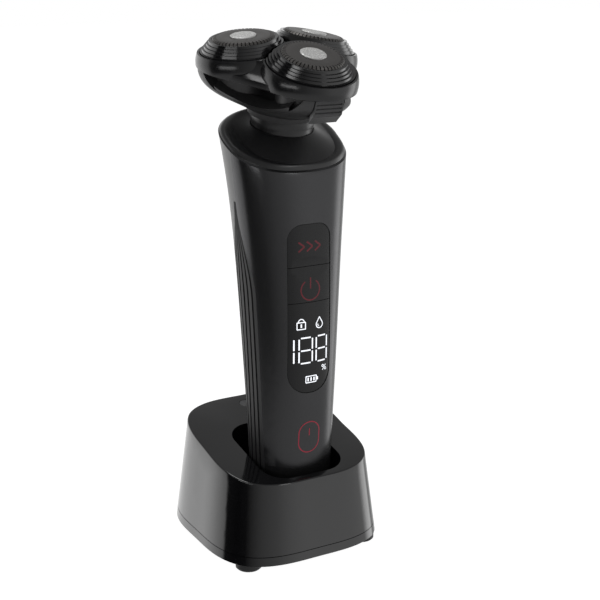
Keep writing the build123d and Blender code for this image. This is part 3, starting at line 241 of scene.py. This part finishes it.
def window_wall(name, turn):
    """Wall shaped like the bowl's rear side, turned under a window, with a ledge leaning in."""
    inverse = HEAD_PLACE.inverted()
    columns = []
    for i in range(WALL_COLUMNS):
        side = radians(-WALL_HALF + 2 * WALL_HALF * i / (WALL_COLUMNS - 1))
        out = Vector((cos(radians(REAR) + side), sin(radians(REAR) + side), 0))
        away = WALL_AT * sin(side)
        top = WALL_LOW + WALL_ARC - sqrt(WALL_ARC**2 - away**2)
        column = []
        for j in range(WALL_ROWS):
            z = WALL_FOOT + (top - WALL_FOOT) * j / (WALL_ROWS - 1)
            start = HEAD_PLACE @ ((out * OUTSIDE + Vector((0, 0, z))) * MM)
            place = BOWL.ray_cast(start, HEAD_PLACE.to_3x3() @ -out)[0]
            flat = inverse @ place
            reach = flat.x * out.x + flat.y * out.y - WALL_INSET * MM
            column.append(out * reach + Vector((0, 0, z * MM)))
        inward = Vector((0, -1, 0)) * LEDGE * MM
        rise = Vector((0, 0, LEDGE * tan(radians(LEDGE_LEAN)) * MM))
        column.append(column[-1] + inward + rise)
        columns.append(column)
    spin = HEAD_PLACE @ Matrix.Rotation(radians(turn), 4, "Z")
    points = [spin @ point for column in columns for point in column]
    rows = WALL_ROWS + 1
    faces = []
    for i in range(WALL_COLUMNS - 1):
        for j in range(rows - 1):
            a = i * rows + j
            faces.append((a, a + 1, a + rows + 1, a + rows))
    mesh = bpy.data.meshes.new(name)
    mesh.from_pydata(points, [], faces)
    # The walls take hull_black, whose lighter colour is painted light
    mesh.materials.append(SURFACES["hull_black"])
    piece = bpy.data.objects.new(name, mesh)
    bpy.context.scene.collection.objects.link(piece)
    shading = piece.modifiers.new("edges", "NODES")
    shading.node_group = EDGES
    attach(piece, "head")


window_wall("left_window_wall", WINDOW_TURN)
window_wall("right_window_wall", -WINDOW_TURN)


# Marks on the control panel and on the case below it, in millimetres across and up

MARK_LIFT = 0.03
IN_FRONT = -200.0
THIN_PEN, FINE_PEN, BAR_PEN, DOT_PEN = 0.35, 0.3, 0.55, 0.25
POWER_PEN, CHEVRON_PEN, CELL_PEN, OVAL_PEN = 0.5, 0.6, 0.6, 0.4
PANEL = search_tree(("display_lens", "power_button", "boost_button"))
CASE = search_tree(("front_shell",))


def laid(tree, x, z):
    """Point of the surface in front at (x, z) millimetres, lifted a little off it."""
    place = tree.ray_cast(Vector((x, IN_FRONT, z)) * MM, Vector((0, 1, 0)))[0]
    return place + Vector((0, -MARK_LIFT * MM, 0))


def mark(name, strokes, body, look, tree=PANEL):
    """Mesh of flat strokes laid on a face. A stroke is (points, width, closed)."""
    points = []
    faces = []
    for track, width, closed in strokes:
        start = len(points)
        count = len(track)
        for i, (x, z) in enumerate(track):
            if closed:
                before = track[i - 1]
                after = track[(i + 1) % count]
            else:
                before = track[max(0, i - 1)]
                after = track[min(count - 1, i + 1)]
            along = Vector((after[0] - before[0], after[1] - before[1])).normalized()
            side = Vector((-along.y, along.x)) * width / 2
            points.append(laid(tree, x + side.x, z + side.y))
            points.append(laid(tree, x - side.x, z - side.y))
        pairs = count if closed else count - 1
        for i in range(pairs):
            a = start + 2 * i
            b = start + 2 * ((i + 1) % count)
            faces.append((a, b, b + 1, a + 1))
    mesh = bpy.data.meshes.new(name)
    mesh.from_pydata(points, [], faces)
    mesh.materials.append(look)
    piece = bpy.data.objects.new(name, mesh)
    bpy.context.scene.collection.objects.link(piece)
    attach(piece, body)


def line(x0, z0, x1, z1, count=6):
    shares = [i / (count - 1) for i in range(count)]
    return [(x0 + (x1 - x0) * t, z0 + (z1 - z0) * t) for t in shares]


def arc(x, z, radius, start, end, count=24):
    turns = [radians(start + (end - start) * i / (count - 1)) for i in range(count)]
    return [(x + radius * cos(t), z + radius * sin(t)) for t in turns]


def ring(x, z, radius, count=32):
    turns = [2 * pi * i / count for i in range(count)]
    return [(x + radius * cos(t), z + radius * sin(t)) for t in turns]


def boxed(x0, z0, x1, z1):
    low, high = line(x0, z0, x1, z0), line(x1, z1, x0, z1)
    return low + line(x1, z0, x1, z1) + high + line(x0, z1, x0, z0)


POWER_Z = 101.9
power_marks = [
    (arc(0, POWER_Z, 3.7, 125, 415, 40), POWER_PEN, False),
    (line(0, POWER_Z + 0.4, 0, POWER_Z + 4.4), POWER_PEN, False),
]
mark("power_mark", power_marks, "power_key", RED_GLOW)

BOOST_Z = 117.4
chevrons = []
for shift in (-3.2, 0.0, 3.2):
    chevrons.append((line(shift - 1.3, BOOST_Z - 1.7, shift + 1.0, BOOST_Z), CHEVRON_PEN, False))
    chevrons.append((line(shift + 1.0, BOOST_Z, shift - 1.3, BOOST_Z + 1.7), CHEVRON_PEN, False))
mark("boost_mark", chevrons, "boost_key", RED_GLOW)

LOCK_X, LOCK_Z = -3.7, 89.9
lock_marks = [
    (boxed(LOCK_X - 1.6, LOCK_Z - 2.0, LOCK_X + 1.6, LOCK_Z + 0.5), THIN_PEN, False),
    (arc(LOCK_X, LOCK_Z + 0.6, 1.1, 0, 180, 16), THIN_PEN, False),
    (line(LOCK_X, LOCK_Z - 1.4, LOCK_X, LOCK_Z - 0.1), BAR_PEN, False),
]
mark("lock_mark", lock_marks, "handle", WHITE_GLOW)

DROP_X, DROP_Z = 3.6, 88.9
drop = arc(DROP_X, DROP_Z, 1.35, 150, 390, 24)
drop_marks = [
    (drop, THIN_PEN, False),
    (line(drop[0][0], drop[0][1], DROP_X, DROP_Z + 2.7), THIN_PEN, False),
    (line(DROP_X, DROP_Z + 2.7, drop[-1][0], drop[-1][1]), THIN_PEN, False),
    (arc(DROP_X, DROP_Z, 0.7, 160, 250, 8), FINE_PEN, False),
]
mark("drop_mark", drop_marks, "handle", WHITE_GLOW)

DIGIT_LOW, DIGIT_HIGH, DIGIT_PEN, DIGIT_TRIM = 75.2, 84.6, 0.52, 0.7
SEGMENTS = {
    "a": ((0, 1), (1, 1)),
    "b": ((1, 1), (1, 0.5)),
    "c": ((1, 0.5), (1, 0)),
    "d": ((0, 0), (1, 0)),
    "e": ((0, 0.5), (0, 0)),
    "f": ((0, 1), (0, 0.5)),
    "g": ((0, 0.5), (1, 0.5)),
}
FIGURES = {"1": "bc", "8": "abcdefg"}


def figure(shape, left, width):
    strokes = []
    for key in FIGURES[shape]:
        (u0, v0), (u1, v1) = SEGMENTS[key]
        x0, x1 = left + u0 * width, left + u1 * width
        z0 = DIGIT_LOW + v0 * (DIGIT_HIGH - DIGIT_LOW)
        z1 = DIGIT_LOW + v1 * (DIGIT_HIGH - DIGIT_LOW)
        dx = DIGIT_TRIM if u1 > u0 else 0.0
        dz = -DIGIT_TRIM / 2 if v1 < v0 else 0.0
        strokes.append((line(x0 + dx, z0 + dz, x1 - dx, z1 - dz), DIGIT_PEN, False))
    return strokes


digits = figure("1", -7.4, 1.0) + figure("8", -4.5, 5.2) + figure("8", 2.3, 4.6)
mark("digit_marks", digits, "handle", WHITE_GLOW)

CELL_X, CELL_Z = 0.7, 68.8
cell_marks = [
    (boxed(CELL_X - 2.4, CELL_Z - 1.2, CELL_X + 1.8, CELL_Z + 1.2), THIN_PEN, False),
    (line(CELL_X + 2.3, CELL_Z - 0.6, CELL_X + 2.3, CELL_Z + 0.6), CELL_PEN, False),
]
for x in (CELL_X - 1.5, CELL_X - 0.3, CELL_X + 0.9):
    cell_marks.append((line(x, CELL_Z - 0.7, x, CELL_Z + 0.7), BAR_PEN, False))
PERCENT_X, PERCENT_Z, PERCENT_R = 5.9, 72.4, 0.4
cell_marks += [
    (line(PERCENT_X - 0.7, PERCENT_Z - 1.0, PERCENT_X + 0.7, PERCENT_Z + 1.0), FINE_PEN, False),
    (ring(PERCENT_X - 0.6, PERCENT_Z + 0.6, PERCENT_R, 16), DOT_PEN, True),
    (ring(PERCENT_X + 0.6, PERCENT_Z - 0.6, PERCENT_R, 16), DOT_PEN, True),
]
mark("cell_mark", cell_marks, "handle", WHITE_GLOW)

OVAL_X, OVAL_LOW, OVAL_HIGH, OVAL_R = 0.4, 44.5, 48.1, 4.2
foot_marks = [
    (arc(OVAL_X, OVAL_HIGH, OVAL_R, 0, 180) + arc(OVAL_X, OVAL_LOW, OVAL_R, 180, 360), OVAL_PEN, True),
    (line(OVAL_X, OVAL_LOW + 2.4, OVAL_X, OVAL_HIGH + 1.6), OVAL_PEN, False),
]
mark("clean_mark", foot_marks, "handle", OVAL_GLOW, tree=CASE)


# Floor, backdrop and light

FLOOR_WHITE = 0.97
SOFT_LIGHT = 0.2
# Brightness of the ceiling and of the floor in mirrors, and the heights between which they fade
# into the walls, for a direction of length 1
OVERHEAD = 0.32
CEILING_FADE = (0.15, 0.5)
UNDERFOOT = 0.7
FLOOR_FADE = (-0.36, -0.5)
FLOOR_TINT = (0.3, 0.34)
FLOOR_SIZE = 6.0
# Brightness of the studio's walls in mirrors, by direction in degrees from +X towards +Y
WALLS = (
    (-180, 0.0),
    (-155, 0.02),
    (-117, 0.4),
    (-90, 0.6),
    (-62, 1.0),
    (-18, 0.9),
    (-6, 2.4),
    (8, 2.4),
    (17, 0.6),
    (40, 0.8),
    (118, 1.7),
    (150, 1.0),
    (154, 0.02),
    (180, 0.0),
)


def fade(nodes, low, high):
    """Smooth step from 0 to 1 between two values."""
    made = nodes.new("ShaderNodeMapRange")
    made.interpolation_type = "SMOOTHSTEP"
    made.inputs["From Min"].default_value = low
    made.inputs["From Max"].default_value = high
    return made


def combine(nodes, links, operation, first, second):
    made = nodes.new("ShaderNodeMath")
    made.operation = operation
    links.new(first, made.inputs[0])
    links.new(second, made.inputs[1])
    return made.outputs[0]


def mirror_ray(nodes, links, path):
    """1 for rays that show up in metal or glass."""
    glossy, through = path.outputs["Is Glossy Ray"], path.outputs["Is Transmission Ray"]
    return combine(nodes, links, "MAXIMUM", glossy, through)


def floor_look():
    """White to the camera with the object's shadow, and clear in mirrors, which see the backdrop."""
    made = bpy.data.materials.new("floor_white")
    made.use_nodes = True
    nodes = made.node_tree.nodes
    links = made.node_tree.links
    nodes.clear()
    output = nodes.new("ShaderNodeOutputMaterial")
    path = nodes.new("ShaderNodeLightPath")
    coords = nodes.new("ShaderNodeTexCoord")
    noise = nodes.new("ShaderNodeTexNoise")
    noise.inputs["Scale"].default_value = 8.0
    tint = nodes.new("ShaderNodeMapRange")
    tint.inputs["To Min"].default_value = FLOOR_TINT[0]
    tint.inputs["To Max"].default_value = FLOOR_TINT[1]
    plain = nodes.new("ShaderNodeBsdfDiffuse")
    links.new(coords.outputs["Object"], noise.inputs["Vector"])
    links.new(noise.outputs["Fac"], tint.inputs["Value"])
    links.new(tint.outputs["Result"], plain.inputs["Color"])
    white = nodes.new("ShaderNodeEmission")
    lift = nodes.new("ShaderNodeMath")
    lift.operation = "MULTIPLY"
    lift.inputs[1].default_value = FLOOR_WHITE
    links.new(path.outputs["Is Camera Ray"], lift.inputs[0])
    links.new(lift.outputs[0], white.inputs["Strength"])
    seen = nodes.new("ShaderNodeAddShader")
    links.new(plain.outputs["BSDF"], seen.inputs[0])
    links.new(white.outputs["Emission"], seen.inputs[1])
    clear = nodes.new("ShaderNodeBsdfTransparent")
    mix = nodes.new("ShaderNodeMixShader")
    links.new(mirror_ray(nodes, links, path), mix.inputs["Fac"])
    links.new(seen.outputs["Shader"], mix.inputs[1])
    links.new(clear.outputs["BSDF"], mix.inputs[2])
    links.new(mix.outputs["Shader"], output.inputs["Surface"])
    return made


bpy.ops.mesh.primitive_plane_add(size=FLOOR_SIZE, location=(0, 0, 0))
floor = bpy.context.object
floor.name = "studio_floor"
floor.data.materials.append(floor_look())


def studio_world():
    """White backdrop; mirrors see walls of uneven brightness, a dimmer ceiling and the floor."""
    world = bpy.data.worlds.new("studio")
    world.use_nodes = True
    nodes = world.node_tree.nodes
    links = world.node_tree.links
    nodes.clear()
    output = nodes.new("ShaderNodeOutputWorld")
    path = nodes.new("ShaderNodeLightPath")
    coords = nodes.new("ShaderNodeTexCoord")
    parts = nodes.new("ShaderNodeSeparateXYZ")
    links.new(coords.outputs["Generated"], parts.inputs["Vector"])
    turn = combine(nodes, links, "ARCTAN2", parts.outputs["Y"], parts.outputs["X"])
    around = nodes.new("ShaderNodeMapRange")
    around.inputs["From Min"].default_value = -pi
    around.inputs["From Max"].default_value = pi
    links.new(turn, around.inputs["Value"])
    walls = nodes.new("ShaderNodeValToRGB")
    stops = walls.color_ramp.elements
    while len(stops) < len(WALLS):
        stops.new(1.0)
    for stop, (angle, level) in zip(stops, WALLS):
        stop.position = angle / 360 + 0.5
        stop.color = (level, level, level, 1)
    links.new(around.outputs["Result"], walls.inputs["Fac"])
    depth = fade(nodes, *FLOOR_FADE)
    links.new(parts.outputs["Z"], depth.inputs["Value"])
    grounded = nodes.new("ShaderNodeMix")
    grounded.inputs[3].default_value = UNDERFOOT
    links.new(depth.outputs["Result"], grounded.inputs[0])
    links.new(walls.outputs["Color"], grounded.inputs[2])
    height = fade(nodes, *CEILING_FADE)
    links.new(parts.outputs["Z"], height.inputs["Value"])
    mirrored = nodes.new("ShaderNodeMix")
    mirrored.inputs[3].default_value = OVERHEAD
    links.new(height.outputs["Result"], mirrored.inputs[0])
    links.new(grounded.outputs[0], mirrored.inputs[2])
    inside = nodes.new("ShaderNodeMix")
    inside.inputs[2].default_value = SOFT_LIGHT
    links.new(mirror_ray(nodes, links, path), inside.inputs[0])
    links.new(mirrored.outputs[0], inside.inputs[3])
    seen = nodes.new("ShaderNodeMix")
    seen.inputs[3].default_value = 1.0
    links.new(path.outputs["Is Camera Ray"], seen.inputs[0])
    links.new(inside.outputs[0], seen.inputs[2])
    backdrop = nodes.new("ShaderNodeBackground")
    backdrop.inputs["Color"].default_value = (1, 1, 1, 1)
    links.new(seen.outputs[0], backdrop.inputs["Strength"])
    links.new(backdrop.outputs["Background"], output.inputs["Surface"])
    return world


bpy.context.scene.world = studio_world()


AIM = Vector((0, 0, 0.1))


def panel_light(name, place, size_x, size_y, radiance):
    """Softbox aimed at the shaver; its power follows from its size and brightness."""
    data = bpy.data.lights.new(name, "AREA")
    data.shape = "RECTANGLE"
    data.size = size_x
    data.size_y = size_y
    data.energy = radiance * pi * size_x * size_y
    lamp = bpy.data.objects.new(name, data)
    bpy.context.scene.collection.objects.link(lamp)
    lamp.location = place
    lamp.rotation_euler = (AIM - Vector(place)).to_track_quat("-Z", "Y").to_euler()
    lamp.visible_camera = False


panel_light("over_head", (-0.1, 0.26, 1.0), 0.5, 0.4, 3.0)
panel_light("left_strip", (-0.56, -0.22, 0.145), 0.42, 0.07, 4.0)
panel_light("front_key", (0.25, -0.9, 0.6), 0.22, 0.22, 6.0)

# Camera matched to the photo

camera_data = bpy.data.cameras.new("camera")
camera_data.lens = 75.0
camera_data.sensor_width = 36.0
camera_data.clip_start = 0.01
camera = bpy.data.objects.new("camera", camera_data)
bpy.context.scene.collection.objects.link(camera)
CAMERA_AT = Vector((-0.2095, -0.3871, 0.2179))
CAMERA_AIM = Vector((0.01147, 0.0045, 0.08963))
camera.location = CAMERA_AT
camera.rotation_euler = (CAMERA_AIM - CAMERA_AT).to_track_quat("-Z", "Y").to_euler()
bpy.context.scene.camera = camera
bpy.context.scene.view_settings.view_transform = "Standard"
